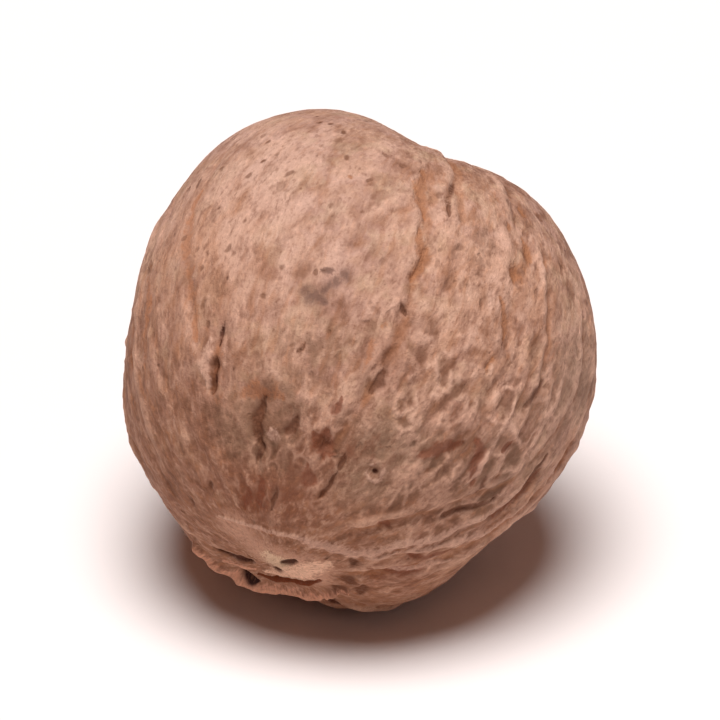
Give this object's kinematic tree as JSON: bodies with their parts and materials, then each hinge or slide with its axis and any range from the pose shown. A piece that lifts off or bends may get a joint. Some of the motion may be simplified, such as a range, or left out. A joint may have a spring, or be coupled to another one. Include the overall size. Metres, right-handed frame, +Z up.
{
  "type": "whole nutmeg",
  "caption": "Whole dried nutmeg, a round ridged brown seed with a pale torn scar at one end, lying on its side; it is grated or ground as a spice.",
  "frame": {"origin": "bottom centre of the seed's bounding box, on the surface that it lies on", "axes": "+Z up, with -Z the outward normal of the small flat spot that the seed rests on; the hilum end points down, towards -Y and a little to -X, and the seed's long axis rises 32 degrees from there to the chalaza end at the back"},
  "size_m": [0.0226, 0.0228, 0.0224],
  "materials": {
    "seed_skin": "matt dry seed skin, pinkish tan with pale ridges, orange-brown grooves, dark pores and greyish patches"
  },
  "bodies": {
    "root": {"nutmeg": "seed_skin"}
  },
  "joints": []
}
